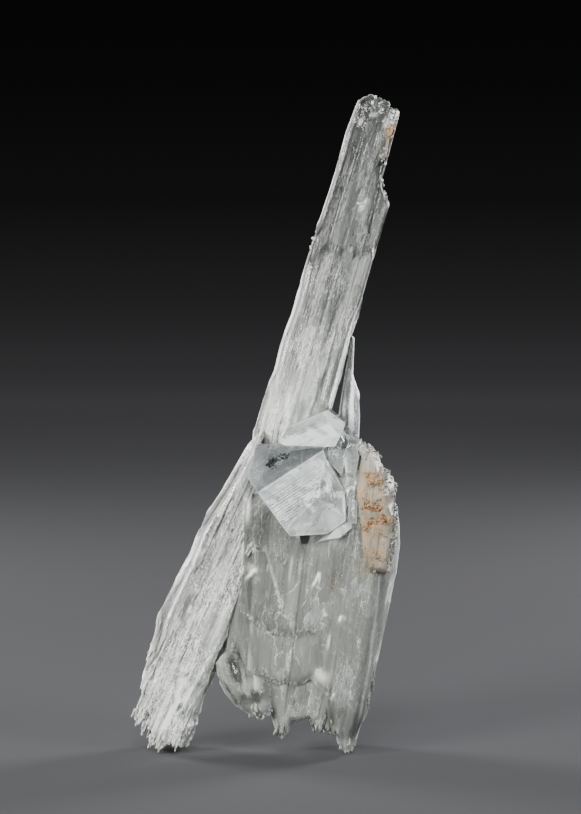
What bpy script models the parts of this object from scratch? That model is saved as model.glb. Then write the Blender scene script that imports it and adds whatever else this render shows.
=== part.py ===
"""Selenite specimen, one solid: a tall blade of gypsum that leans to the right,
a foot blade that carries it down to the left, a curtain of upright blades
beside them, a block crystal and a smaller one with a ridge in front, two side
splinters, glassy broken lobes and a rusty druse. All of it grew together.

Metres, +Z up, +X to the viewer's right, +Y away from the viewer. The origin is
under the middle of the specimen, on the surface that it stands on.
"""

import math
import random

import bpy
import bmesh
from mathutils import Matrix, Vector

MM = 0.001

# Driving dimensions, in millimetres before the specimen is centred
TALL_LEAN = (17.2, 15.4)  # degrees to the right of upright, at left and right edge
FOOT_LEAN = (25.5, 21.5)
CURTAIN_LEAN = (3.5, 11.5)
FLOOR = 0.0  # the lowest tips are worn flat at this height
SIDES = 6  # a gypsum lath is a flattened six-sided prism

# Each layer of a blade has its outline as seen from the front, in (x, z) points
TALL_BODY = [
    (-4.0, 44), (-3.3, 73), (-1.5, 80), (1.5, 86.5), (3.3, 94), (5.6, 100), (6.4, 103),
    (8.2, 110), (9.6, 116), (12, 121), (14.3, 128), (16.1, 134), (17.7, 140), (19.2, 144),
    (20.6, 147.6), (23.3, 149), (26.7, 147.8), (30.2, 145.5), (29.4, 142), (28.0, 138.5),
    (27.4, 135), (26.0, 132), (26.3, 128.5), (28.3, 123.5), (26.9, 118.5), (24.6, 110.7),
    (22.4, 102.8), (19.2, 93.8), (17.7, 86), (14.3, 73.5), (7.5, 44),
]
TALL_FRONT = [
    (-2.5, 44), (-1.5, 73), (1, 82), (4.5, 94), (8, 104), (10, 111.5), (14, 114.5),
    (19, 113), (24, 114), (24.5, 110), (21, 98), (17, 86), (13.5, 73), (7, 44),
]
TALL_BACK = [
    (-2, 44), (0, 75), (5, 92), (9, 106), (14, 120), (17.5, 133), (20, 137), (25, 134),
    (25.5, 124), (22, 108), (17, 90), (12, 73), (6, 44),
]
FOOT_BODY = [
    (1.9, 78), (-4.2, 70), (-10.5, 59), (-14.7, 53), (-17.9, 44.5), (-20.4, 39.8),
    (-23.7, 35), (-25.5, 30.8), (-26.2, 25), (-27.6, 20.7), (-29.1, 13.5), (-28.2, 12.4),
    (-30.5, 7.9), (-30.0, 5.2), (-28.2, 3.6), (-26.8, 1.2), (-24.6, -0.8), (-18.2, -0.8),
    (-16.4, 3.4), (-15.0, 6.5), (-14.6, 10), (-13.6, 13), (-11.8, 15.5), (-10.0, 22),
    (-7.1, 27.5), (-4.2, 35.3), (-1.0, 44.3), (5.3, 62.3),
]
FOOT_FRONT = [
    (-2, 71), (-9, 59), (-14.5, 50), (-18.5, 40), (-23, 30), (-25.5, 20), (-27.5, 9),
    (-24.5, -1), (-18.5, -1), (-16, 7), (-13.5, 14), (-10.5, 22), (-6, 32), (-2, 46), (2, 60),
]
FOOT_BACK = [
    (-1, 73), (-8, 60), (-13.5, 51), (-17.5, 40), (-22, 29), (-25, 17), (-26.5, 6),
    (-24, -1), (-18.8, -1), (-16.5, 6), (-12, 16), (-9, 25), (-5, 36), (0, 52),
]
CURTAIN_BODY = [
    (-6.0, 58), (-7.5, 42), (-9.6, 27), (-11.3, 20), (-8.7, 13.5), (-6.0, 11), (-2.6, 9.8),
    (0.8, 9.0), (1.9, 4.2), (3.4, 2.6), (5.0, 4.2), (6.0, 6.6), (9.5, 7.0), (11.5, 4.6),
    (15.4, 3.6), (16.8, -0.8), (19.6, -0.8), (21.2, 5.5), (23.5, 10), (24.4, 15),
    (25.5, 20.7), (27.1, 26.3), (28.2, 35.3), (29.4, 41), (30.2, 47.7), (30.0, 54),
    (28.6, 59), (27.0, 63.5), (24.4, 67.5), (20.5, 70), (15, 71), (4, 66),
]
CURTAIN_FRONT = [
    (-5, 58), (-5.2, 42), (-4.5, 31), (0, 27.3), (7, 26.5), (11, 27.5), (12.5, 17), (14, 6),
    (16.6, -0.8), (19.4, -0.8), (21, 7), (23, 18), (25, 32), (26, 44), (25.6, 55), (23, 63),
    (19, 67), (4, 66),
]
CURTAIN_STEP = [
    (-4, 52), (-5, 30), (-3, 17), (1, 15.8), (7, 15.6), (10, 16.5), (15, 12), (16, 50),
]
CURTAIN_BACK = [
    (-7, 56), (-8, 40), (-9, 28), (-7, 20), (0, 14), (6, 11), (13, 8), (16, -0.8),
    (20, -0.8), (22, 8), (25, 22), (27.5, 38), (28.5, 50), (26, 62), (20, 68), (5, 66),
]

# Corners of the main block crystal, as (x, y, z), named for where they are seen
RIDGE_LEFT = Vector((-2.1, -17.0, 60.1))
RIDGE_RIGHT = Vector((12.0, -13.5, 68.0))
TOP_LEFT = Vector((-2.6, -8.0, 70.7))
TOP_RIGHT = Vector((16.0, -8.0, 68.3))
LEDGE_LEFT = Vector((2.3, -19.5, 54.3))
BOTTOM_LEFT = Vector((5.5, -15.5, 49.7))
BOTTOM_RIGHT = Vector((13.6, -11.0, 50.0))
SIDE_LOW = Vector((17.7, -10.5, 52.9))
SIDE_HIGH = Vector((17.3, -11.5, 60.0))
BLOCK_BACK = 14.0  # how far its hidden faces run back
DRUSE_GRAINS = 60

CLEAR_WHITE = (0.80, 0.82, 0.80, 1.0)


def clear_scene():
    for old in list(bpy.data.objects):
        bpy.data.objects.remove(old)


def collection(name):
    made = bpy.data.collections.new(name)
    bpy.context.scene.collection.children.link(made)
    return made


def gypsum():
    material = bpy.data.materials.new("selenite")
    material.use_nodes = True
    shader = material.node_tree.nodes["Principled BSDF"]
    shader.inputs["Base Color"].default_value = CLEAR_WHITE
    shader.inputs["Roughness"].default_value = 0.25
    shader.inputs["Metallic"].default_value = 0.0
    shader.inputs["IOR"].default_value = 1.52
    shader.inputs["Transmission Weight"].default_value = 0.6
    return material


def growth(name, bm, matrix=None):
    """One crystal, in millimetres, kept in metres among those that are joined."""
    if matrix is not None:
        bm.transform(matrix)
    bm.transform(Matrix.Scale(MM, 4))
    mesh = bpy.data.meshes.new(name)
    bm.to_mesh(mesh)
    bm.free()
    made = bpy.data.objects.new(name, mesh)
    made.hide_render = True
    made.display_type = "WIRE"
    crystals.objects.link(made)
    return made


def lath(name, across, depth, ends, size, lean, slants, taper=1.0):
    """A flattened six-sided prism along a blade's own axis.

    across and depth place its middle, and ends are its bottom and top along
    the axis. Each end has a slant: its rise over the width and the depth.
    """
    width, thickness = size
    bm = bmesh.new()
    bmesh.ops.create_cone(
        bm, cap_ends=True, segments=SIDES, radius1=0.5, radius2=0.5 * taper, depth=1.0
    )
    quarter_turn = Matrix.Rotation(math.radians(90), 3, "Z")
    bmesh.ops.rotate(bm, verts=bm.verts, cent=(0, 0, 0), matrix=quarter_turn)
    for corner in bm.verts:
        x, y, z = corner.co
        end, (sideways, inwards) = (ends[z > 0], slants[z > 0])
        corner.co = (across + x * width, depth + y * thickness, end + sideways * x + inwards * y)
    return growth(name, bm, Matrix.Rotation(math.radians(lean), 4, "Y"))


def span(outline, lean, across):
    """Lowest and highest place where a line with this lean meets the outline."""
    turn = Matrix.Rotation(math.radians(lean), 2)
    points = [turn @ Vector(point) for point in outline]
    heights = []
    for a, b in zip(points, points[1:] + points[:1]):
        if (a.x < across) != (b.x < across):
            share = (across - a.x) / (b.x - a.x)
            heights.append(a.y + share * (b.y - a.y))
    return min(heights), max(heights)


def fan(outline, leans, share):
    """The lath line at a share of the blade's width: its lean, its place and the width.

    The lines are spaced evenly at the outline's middle height, and they turn
    from the lean of the left edge to the lean of the right one.
    """
    heights = [z for x, z in outline]
    height = (min(heights) + max(heights)) / 2
    right, left = (-place for place in span(outline, -90, height))
    lean = leans[0] + (leans[1] - leans[0]) * share
    middle = Vector((left + (right - left) * share, height))
    return lean, (Matrix.Rotation(math.radians(lean), 2) @ middle).x, right - left


def slants_by_chance(chance, most):
    return [(chance.uniform(-most, most), chance.uniform(-most, most)) for _ in range(2)]


def layer(name, outline, leans, depths, pitch, ragged, thin_edge, seed):
    """One layer of a blade: laths side by side that fill its outline.

    depths are its front and back at the middle, and it thins to thin_edge of
    that at both sides. Each lath stops up to ragged short of the outline.
    """
    chance = random.Random(seed)
    columns = round(fan(outline, leans, 0)[2] / pitch)
    front, back = depths
    for column in range(1, columns):
        share = (column + chance.uniform(-0.15, 0.15)) / columns
        lean, across, wide = fan(outline, leans, share)
        low, high = span(outline, lean, across)
        half = (back - front) / 2 * (1 - (1 - thin_edge) * abs(2 * share - 1) ** 2.5)
        near = (front + back) / 2 - half + chance.uniform(-0.5, 0.5)
        far = (front + back) / 2 + half + chance.uniform(-0.3, 0.3)
        lath(
            f"{name}_{column}",
            across,
            (near + far) / 2,
            (low + chance.uniform(0, ragged), high - chance.uniform(0, ragged)),
            (wide / columns * chance.uniform(1.9, 2.3), (far - near) * 1.16),
            lean + chance.uniform(-0.3, 0.3),
            slants_by_chance(chance, 2.2),
            taper=chance.uniform(0.85, 1.0),
        )


def ribs(name, outline, leans, depths, count, seed):
    """Narrow laths that stand proud of a blade's front and back as long ridges."""
    chance = random.Random(seed)
    for rib in range(count):
        lean, across, _ = fan(outline, leans, chance.uniform(0.1, 0.9))
        low, high = span(outline, lean, across)
        middle = chance.uniform(low + 8, high - 8)
        half = chance.uniform(0.15, 0.4) * (high - low)
        lath(
            f"{name}_{rib}",
            across,
            depths[rib % 2] + chance.uniform(-0.3, 0.3),
            (max(low + 1.0, middle - half), min(high - 1.0, middle + half)),
            (chance.uniform(0.9, 2.0), chance.uniform(2.0, 2.8)),
            lean,
            slants_by_chance(chance, 1.5),
            taper=0.8,
        )


def cut_crystal(name, bm, flats):
    """A crystal cut from a rough shape: each flat is a point on it and its outward normal."""
    for point, normal in flats:
        cut = bmesh.ops.bisect_plane(
            bm,
            geom=bm.verts[:] + bm.edges[:] + bm.faces[:],
            plane_co=point,
            plane_no=normal,
            clear_outer=True,
        )
        rim = [item for item in cut["geom_cut"] if isinstance(item, bmesh.types.BMEdge)]
        bmesh.ops.contextual_create(bm, geom=rim)
    bmesh.ops.recalc_face_normals(bm, faces=bm.faces)
    return growth(name, bm)


def rough_cube(centre, size):
    bm = bmesh.new()
    bmesh.ops.create_cube(bm, size=size, matrix=Matrix.Translation(centre))
    return bm


def rough_ball(centre, radii):
    bm = bmesh.new()
    bmesh.ops.create_icosphere(bm, subdivisions=2, radius=1.0)
    bmesh.ops.scale(bm, vec=radii, verts=bm.verts)
    bmesh.ops.translate(bm, vec=centre, verts=bm.verts)
    return bm


def flat_through(a, b, c, inside):
    """The flat through three corners, facing away from a point inside."""
    normal = (b - a).cross(c - a).normalized()
    return a, normal if normal.dot(a - inside) > 0 else -normal


def block_crystal():
    """The big clear crystal: three prism faces seen from the front, and blunt ends."""
    inside = Vector((8, -9, 60))
    back = Vector((0, BLOCK_BACK, 0))
    corners = [
        (RIDGE_LEFT, RIDGE_RIGHT, TOP_LEFT),
        (RIDGE_LEFT, RIDGE_RIGHT, LEDGE_LEFT),
        (LEDGE_LEFT, LEDGE_LEFT + RIDGE_RIGHT - RIDGE_LEFT, BOTTOM_LEFT),
        (RIDGE_LEFT, BOTTOM_LEFT, RIDGE_LEFT + back),
        (BOTTOM_LEFT, BOTTOM_RIGHT, BOTTOM_LEFT + back),
        (BOTTOM_RIGHT, SIDE_LOW, BOTTOM_RIGHT + back),
        (SIDE_LOW, SIDE_HIGH, SIDE_LOW + back),
        (SIDE_HIGH, RIDGE_RIGHT, TOP_RIGHT),
        (TOP_LEFT, TOP_RIGHT, TOP_LEFT + back),
    ]
    flats = [flat_through(*three, inside) for three in corners]
    flats.append((Vector((-4.7, 0, 62)), Vector((-1, 0, 0.28))))
    flats.append((Vector((0, 2, 60)), Vector((0, 1, 0))))
    cut_crystal("block", rough_cube(inside, 60), flats)


def roof_crystal():
    """The smaller clear crystal above the block, with a ridge like a roof's."""
    ridge_left, ridge_right = Vector((4.0, -9.5, 71.5)), Vector((14.0, -10.5, 75.5))
    inside = Vector((10, -5, 73))
    back = Vector((0, BLOCK_BACK, 0))
    top_left, top_right = Vector((5.2, -6, 74.6)), Vector((13.8, -6, 78.2))
    side, low_right = Vector((17.7, -7, 75.2)), Vector((15.5, -6, 71))
    flats = [
        flat_through(ridge_left, ridge_right, top_left, inside),
        flat_through(ridge_left, ridge_right, Vector((10, -12.5, 69)), inside),
        flat_through(ridge_right, top_right, side, inside),
        flat_through(top_left, top_right, top_left + back, inside),
        flat_through(top_right, side, side + back, inside),
        flat_through(side, low_right, side + back, inside),
        (Vector((3.0, -5, 71.5)), Vector((-1, 0, 0.6))),
        (Vector((0, 0, 68)), Vector((0, 0, -1))),
        (Vector((0, 3, 70)), Vector((0, 1, 0))),
    ]
    cut_crystal("roof", rough_cube(inside, 40), flats)


def side_splinters():
    """Two clear splinters along the tall blade's right side, the upper one thin."""
    lath("splinter", 16.7, 0.5, (66, 87), (4.2, 5.5), 2.0, [(0, 0), (-4.0, 0.8)], taper=0.75)
    lath("thin_splinter", 3.4, 2.2, (74, 96), (1.9, 3.2), 10.0, [(0, 0), (1.0, 0.5)], taper=0.6)


def broken_lobes():
    """Glassy, rounded breaks: at the curtain's lower left, and a small one on the foot."""
    flats = [
        (Vector((-7, -10.2, 18)), Vector((-0.45, -0.8, -0.1))),
        (Vector((-1, -11.6, 20)), Vector((0.15, -1, 0.1))),
        (Vector((-8.5, -4, 14)), Vector((-0.75, -0.2, -0.6))),
        (Vector((-2, -8, 11.5)), Vector((0.1, -0.55, -0.8))),
    ]
    cut_crystal("lobe", rough_ball((-3.4, -4.2, 19.0), (7.6, 8.5, 10.5)), flats)
    flats = [
        (Vector((-18, -8.4, 6)), Vector((0.25, -1, 0.1))),
        (Vector((-16, -3, 2)), Vector((0.6, -0.1, -0.7))),
    ]
    cut_crystal("foot_lobe", rough_ball((-18.6, -3.8, 5.5), (4.4, 6.2, 6.6)), flats)


def rusty_druse():
    """Small stained crystals crowded over the curtain's right shoulder."""
    chance = random.Random(11)
    for grain in range(DRUSE_GRAINS):
        down = (grain + 0.5) / DRUSE_GRAINS
        wide = 4.6 * math.sin(math.pi * (0.2 + 0.7 * down))
        x = 23.4 + 2.6 * down + chance.uniform(-1, 1) * wide
        y = chance.uniform(-12.8, -8.0) if x < 26 else chance.uniform(-9.5, 2.0)
        bm = bmesh.new()
        size = chance.uniform(1.2, 2.4)
        bmesh.ops.create_cone(
            bm, cap_ends=True, segments=5, radius1=size, radius2=0.45 * size, depth=1.5 * size
        )
        turn = Matrix.Rotation(chance.uniform(-1.9, -0.6), 4, (-1, chance.uniform(-0.6, 0.6), 0))
        place = Matrix.Translation((x, y, 67.0 - 25.0 * down))
        growth(f"druse_{grain}", bm, place @ turn)


def slab_under_floor():
    """What is cut off below the surface that the specimen stands on."""
    bm = bmesh.new()
    bmesh.ops.create_cube(bm, size=100, matrix=Matrix.Translation((0, 0, FLOOR - 50)))
    growth("slab_under_floor", bm)
    slab = bpy.data.objects["slab_under_floor"]
    crystals.objects.unlink(slab)
    cutters.objects.link(slab)
    return slab


def join_crystals():
    """The specimen: the block crystal with every other crystal joined to it."""
    specimen = bpy.data.objects["block"].copy()
    specimen.data = specimen.data.copy()
    specimen.name = specimen.data.name = "selenite_cluster"
    specimen.hide_render = False
    specimen.display_type = "TEXTURED"
    specimen.data.materials.append(gypsum())
    crystals.objects.unlink(bpy.data.objects["block"])
    cutters.objects.link(bpy.data.objects["block"])
    selenite.objects.link(specimen)
    union = specimen.modifiers.new("grown together", "BOOLEAN")
    union.operation = "UNION"
    union.operand_type = "COLLECTION"
    union.collection = crystals
    worn = specimen.modifiers.new("worn tips", "BOOLEAN")
    worn.operation = "DIFFERENCE"
    worn.object = slab_under_floor()
    return specimen


def fill_sealed_gaps(specimen):
    """Solid gypsum: the skins of gaps that are sealed inside are taken away."""
    graph = bpy.context.evaluated_depsgraph_get()
    mesh = bpy.data.meshes.new_from_object(specimen.evaluated_get(graph))
    bm = bmesh.new()
    bm.from_mesh(mesh)
    waiting = set(bm.faces)
    skins = []
    while waiting:
        skin, edge_of = [], [waiting.pop()]
        while edge_of:
            face = edge_of.pop()
            skin.append(face)
            near = {other for edge in face.edges for other in edge.link_faces} & waiting
            waiting -= near
            edge_of.extend(near)
        skins.append(skin)
    skins.sort(key=len)
    bmesh.ops.delete(bm, geom=[face for skin in skins[:-1] for face in skin], context="FACES")
    bm.to_mesh(mesh)
    bm.free()
    specimen.modifiers.clear()
    specimen.data = mesh


def centre(specimen):
    """Moves the middle of the specimen's box over the origin."""
    corners = [Vector(corner) for corner in specimen.bound_box]
    middle = sum(corners, Vector()) / len(corners)
    shift = Vector((-middle.x, -middle.y, 0))
    for part in [specimen, *crystals.objects, *cutters.objects]:
        part.location += shift


clear_scene()
selenite = collection("selenite specimen")
crystals = collection("crystals to join")
cutters = collection("cutters")

layer("tall_body", TALL_BODY, TALL_LEAN, (-1.5, 2.8), 1.6, 0.8, 0.6, seed=3)
layer("tall_core", TALL_BODY, TALL_LEAN, (1.8, 6.0), 1.8, 2.0, 0.6, seed=30)
layer("tall_front", TALL_FRONT, TALL_LEAN, (-4.6, 0.0), 2.0, 3.0, 0.5, seed=31)
layer("tall_back", TALL_BACK, TALL_LEAN, (4.6, 9.0), 2.2, 4.0, 0.5, seed=32)
layer("foot_body", FOOT_BODY, FOOT_LEAN, (-2.8, 1.0), 1.6, 0.8, 0.6, seed=5)
layer("foot_core", FOOT_BODY, FOOT_LEAN, (0.0, 3.8), 1.8, 1.5, 0.7, seed=50)
layer("foot_front", FOOT_FRONT, FOOT_LEAN, (-7.6, -1.4), 2.0, 2.0, 0.5, seed=51)
layer("foot_back", FOOT_BACK, FOOT_LEAN, (2.6, 8.0), 2.2, 2.0, 0.5, seed=52)
layer("curtain_body", CURTAIN_BODY, CURTAIN_LEAN, (-6.5, -0.6), 1.9, 0.8, 0.8, seed=8)
layer("curtain_core", CURTAIN_BODY, CURTAIN_LEAN, (-1.6, 4.0), 2.1, 2.0, 0.8, seed=80)
layer("curtain_front", CURTAIN_FRONT, CURTAIN_LEAN, (-12.0, -5.2), 2.1, 0.8, 0.6, seed=81)
layer("curtain_step", CURTAIN_STEP, CURTAIN_LEAN, (-9.2, -4.5), 2.4, 0.8, 0.8, seed=82)
layer("curtain_back", CURTAIN_BACK, CURTAIN_LEAN, (2.8, 10.0), 2.4, 2.5, 0.6, seed=83)
ribs("tall_rib", TALL_FRONT, TALL_LEAN, (-3.6, 8.6), 14, seed=13)
ribs("foot_rib", FOOT_FRONT, FOOT_LEAN, (-6.8, 7.4), 14, seed=17)
ribs("curtain_rib", CURTAIN_FRONT, CURTAIN_LEAN, (-11.4, 9.4), 18, seed=19)
block_crystal()
roof_crystal()
side_splinters()
broken_lobes()
rusty_druse()
specimen = join_crystals()
fill_sealed_gaps(specimen)
centre(specimen)
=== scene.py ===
"""Selenite specimen: milky, finely streaked blades, a curtain of half-clear ones, two clear
crystals in front and a rust-stained druse, all grown together and standing on their broken ends.
Sizes are in millimetres until a mesh is made, +X to the viewer's right, +Y away, +Z up.
"""

import bpy
import numpy as np
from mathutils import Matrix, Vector


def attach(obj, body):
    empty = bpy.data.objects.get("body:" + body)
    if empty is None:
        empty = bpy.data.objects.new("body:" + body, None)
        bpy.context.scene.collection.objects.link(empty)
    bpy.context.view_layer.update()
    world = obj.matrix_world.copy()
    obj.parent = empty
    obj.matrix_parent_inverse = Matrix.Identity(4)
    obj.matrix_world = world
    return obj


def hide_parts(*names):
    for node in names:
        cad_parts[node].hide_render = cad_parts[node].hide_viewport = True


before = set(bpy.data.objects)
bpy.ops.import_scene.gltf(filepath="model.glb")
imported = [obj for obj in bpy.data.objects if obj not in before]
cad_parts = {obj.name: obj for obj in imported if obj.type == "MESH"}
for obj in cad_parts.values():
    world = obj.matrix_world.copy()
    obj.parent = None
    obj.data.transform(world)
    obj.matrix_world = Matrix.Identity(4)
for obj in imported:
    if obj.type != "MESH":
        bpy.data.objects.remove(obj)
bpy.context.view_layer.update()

# Tall blade: a long, milky blade of gypsum that leans to the right, broken off at the top. It is
# cleaved into parallel laths, and a layer on its front ends at a ragged step two thirds up. Its
# edges carry a grey band of painted shade inside a white rim of painted highlight, its upper part
# is darkened by painted shade, and iron has stained it near the top.

MM = 0.001
IOR = 1.52  # gypsum's refractive index
SHIFT = np.array([0.0613, 4.4006, 0.0])  # from the outlines' own origin to the middle of the base
SINK = np.tan(np.radians(5.0))  # how much lower a point looks for each millimetre that it is nearer

TALL_LEANS = (17.2, 15.4)  # degrees to the right of upright, at left and right edge
TALL_BODY = [
    (-4, 44), (-3.3, 73), (-1.5, 80), (1.5, 86.5), (3.3, 94), (5.6, 100), (6.4, 103), (8.2, 110),
    (9.6, 116), (12, 121), (14.3, 128), (16.1, 134), (17.7, 140), (19.2, 144), (20.6, 147.6),
    (23.3, 149), (26.7, 147.8), (30.2, 145.5), (29.4, 142), (28, 138.5), (27.4, 135), (26, 132),
    (26.3, 128.5), (28.3, 123.5), (26.9, 118.5), (24.6, 110.7), (22.4, 102.8), (19.2, 93.8), (17.7, 86),
    (14.3, 73.5), (7.5, 44),
]
TALL_FRONT = [
    (-2.5, 44), (-1.5, 73), (1, 82), (4.5, 94), (8, 104), (10, 111.5), (14, 114.5), (19, 113),
    (24, 114), (24.5, 110), (21, 98), (17, 86), (13.5, 73), (7, 44),
]
TALL_BACK = [
    (-2, 44), (0, 75), (5, 92), (9, 106), (14, 120), (17.5, 133), (20, 137), (25, 134), (25.5, 124),
    (22, 108), (17, 90), (12, 73), (6, 44),
]
# Where the front differs: x, z, half-width, half-length, lean, and what it adds to milk, shade
# and rust. Zeros at a row's end are left out.
TALL_SPOTS = [
    # Painted shade: the first row darkens the upper part, and the row at x -1.8 darkens the left edge,
    # which faces the key lamp.
    (21, 131, 14, 36, 16, -0.1, -0.66), (6, 76, 9, 12, 16, 0.1, 0.08),
    (23.2, 141, 4.2, 9, 16, -0.18, -0.06), (18.6, 131, 1.3, 8, 17, -0.3, -0.08),
    (21.4, 123.4, 0.6, 1, 15, 0.4, 0.6), (22.3, 124.8, 0.4, 0.8, 15, 0.4, 0.5),
    (16.2, 132, 1, 14, 16.5, 0.2, -0.15), (10.6, 116.4, 0.8, 1.2, 15, 0.5, 0.3),
    (21, 142.6, 0.6, 0.8, 0, 0.6, 0.5), (24.2, 144.2, 0.8, 0.6, 0, 0.6, 0.45),
    (27, 142.4, 0.9, 1.2, 0, 0.6, 0.35), (28, 140.2, 1.3, 1.9, 0, 0.35, -0.1, 0.55),
    (27.2, 136, 1, 1.2, 0, 0.2, -0.1, 0.35), (15.4, 100, 0.6, 7, 17, -0.45, -0.08),
    (9, 97, 0.5, 6, 17, -0.35, -0.05), (5.4, 86, 0.5, 6, 17, -0.3, -0.05),
    (1.8, 75.5, 4, 8, 16, 0.4, 0.06), (16.2, 87, 1.1, 11, 16, -0.5, -0.1),
    (-1.8, 79, 1.1, 13, 17, -0.25, -0.28), (6.4, 106, 0.9, 15, 17, -0.2, -0.12),
    (12.4, 107, 1, 5, 16, 0.3, 0.04), (19.5, 106, 1.2, 7, 15, 0.3, 0.04),
]

# Laths of three widths: each one's width, its breaks, its tilt, and what its steps add to the
# depth, the milk and the shade.
LATHS = [
    (3.2, 3, 1.0, 0.22, 0.05, 0.04), (1.2, 6, 0.8, 0.09, 0.06, 0.03), (0.5, 9, 0.5, 0.03, 0.04, 0.0),
]
LAYER_LATH, SIDE_LATH = 1.4, 1.1  # widths of the laths at a layer's end and on a blade's sides


def bell(distance):
    """1 at nothing, fading to both sides: exp(-distance^2)."""
    return np.exp(-(distance**2))


def fan_lines(outline, leans, shares):
    """The lines that laths run along, one for each share of a blade's width.

    Each starts where its share falls at the outline's middle height, and turns from the left
    edge's lean to the right edge's. low and high are its outermost cuts with the outline.
    """
    a = np.array(outline, float)
    b = np.roll(a, -1, axis=0)
    middle = (a[:, 1].min() + a[:, 1].max()) / 2
    level = (a[:, 1] < middle) != (b[:, 1] < middle)
    cut = a[level, 0] + (middle - a[level, 1]) / (b - a)[level, 1] * (b - a)[level, 0]
    wide = cut.max() - cut.min()
    lean = np.radians(leans[0] + (leans[1] - leans[0]) * shares)
    start = np.stack([cut.min() + wide * shares, np.full_like(shares, middle)], axis=1)
    way = np.stack([np.sin(lean), np.cos(lean)], axis=1)
    gap = a[None] - start[:, None]
    off = gap[..., 0] * way[:, None, 1] - gap[..., 1] * way[:, None, 0]
    along = gap[..., 0] * way[:, None, 0] + gap[..., 1] * way[:, None, 1]
    off_b, along_b = np.roll(off, -1, axis=1), np.roll(along, -1, axis=1)
    crosses = (off < 0) != (off_b < 0)
    part = off / np.where(crosses, off - off_b, 1)
    place = along + part * (along_b - along)
    low = np.where(crosses, place, np.inf).min(axis=1)
    high = np.where(crosses, place, -np.inf).max(axis=1)
    return start, way, low, high, wide


def depth_inside(places, outline):
    """How far each place lies inside an outline, less than nothing outside, and the way to it.

    It is the least distance to any side of the outline, and a place is inside where a ray to
    its right crosses an odd number of sides.
    """
    a = np.array(outline, float)
    side = np.roll(a, -1, axis=0) - a
    gap = places[..., None, :] - a
    share = ((gap * side).sum(axis=-1) / (side**2).sum(axis=-1)).clip(0, 1)
    to_side = share[..., None] * side - gap
    reach = np.linalg.norm(to_side, axis=-1)
    first = reach.argmin(axis=-1)[..., None]
    near = np.take_along_axis(reach, first, axis=-1)[..., 0]
    crosses = (gap[..., 1] < 0) != (gap[..., 1] - side[:, 1] < 0)
    turn = gap[..., 0] * side[:, 1] - gap[..., 1] * side[:, 0]
    right = crosses & ((turn < 0) == (side[:, 1] > 0))
    depth = np.where(right.sum(axis=-1) % 2 == 1, near, -near)
    return depth, np.take_along_axis(to_side, first[..., None], axis=-2)[..., 0, :]


def split(shares, wide, pitch, chance):
    """Cuts a width into uneven laths: their count, each share's lath and its place across it."""
    count = max(2, round(wide / pitch))
    edges = np.cumsum(chance.gamma(2.2, 1.0, count + 1) + 0.25)
    edges = (edges - edges[0]) / (edges[-1] - edges[0])
    lath = np.clip(np.searchsorted(edges, shares, side="right") - 1, 0, count - 1)
    return count, lath, (shares - edges[lath]) / np.diff(edges)[lath] - 0.5


def lath_steps(shares, run, wide, pitch, breaks, tilt, chance):
    """Uneven levels of laths of one width, about 0 with a spread of 1.

    Each lath has a level of its own that jumps to a new one at a few breaks along it, where
    the break runs slightly askew, and its face is tilted across by up to the tilt.
    """
    count, lath, across = split(shares, wide, pitch, chance)
    skew = chance.uniform(-0.03, 0.03, count)[lath] * across
    jumps = chance.random((count, breaks))[lath]
    step = (run[None, :, None] + skew[:, None, None] > jumps[:, None, :]).sum(axis=-1)
    level = chance.normal(size=(count, breaks + 1))
    slope_painted_shade = chance.normal(size=(count, breaks + 1)) * tilt
    pick = lath[:, None], step
    return level[pick] + slope_painted_shade[pick] * across[:, None]


def side_steps(depth, run, pitch, breaks, chance):
    """Levels from 0 to 1 of the laths on a blade's sides: each has a band of depths, and jumps to
    a new level at a few breaks along it.
    """
    lath = ((depth - depth.min()) / pitch).astype(int)
    count = lath.max() + 1
    jumps = chance.random((count, breaks))
    step = (run[None, :, None] > jumps[lath]).sum(axis=-1)
    return chance.random((count, breaks + 1))[lath, step]


def quarter_round(depth, radius):
    """A shoulder's height, from 0 at its foot to 1 a radius inside: sqrt(1 - (1 - d / r)^2)."""
    return np.sqrt(1 - (1 - (depth / radius).clip(0, 1)) ** 2)


def spotted(spots, flat):
    """The sum of the spots' changes, each times its flat-topped oval, in the spot's own axes:
    exp(-|across / half-width|^3 - |along / half-length|^3).
    """
    total = np.zeros(flat.shape[:-1] + (3,))
    for x, z, half_width, half_length, lean, *change in spots:
        turned = np.radians(lean)
        gap = flat - np.array([x, z])
        across = gap[..., 0] * np.cos(turned) - gap[..., 1] * np.sin(turned)
        along = gap[..., 0] * np.sin(turned) + gap[..., 1] * np.cos(turned)
        oval = np.exp(-(np.abs(across / half_width) ** 3 + np.abs(along / half_length) ** 3))
        total[..., : len(change)] += oval[..., None] * np.array(change, float)
    return total


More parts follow.
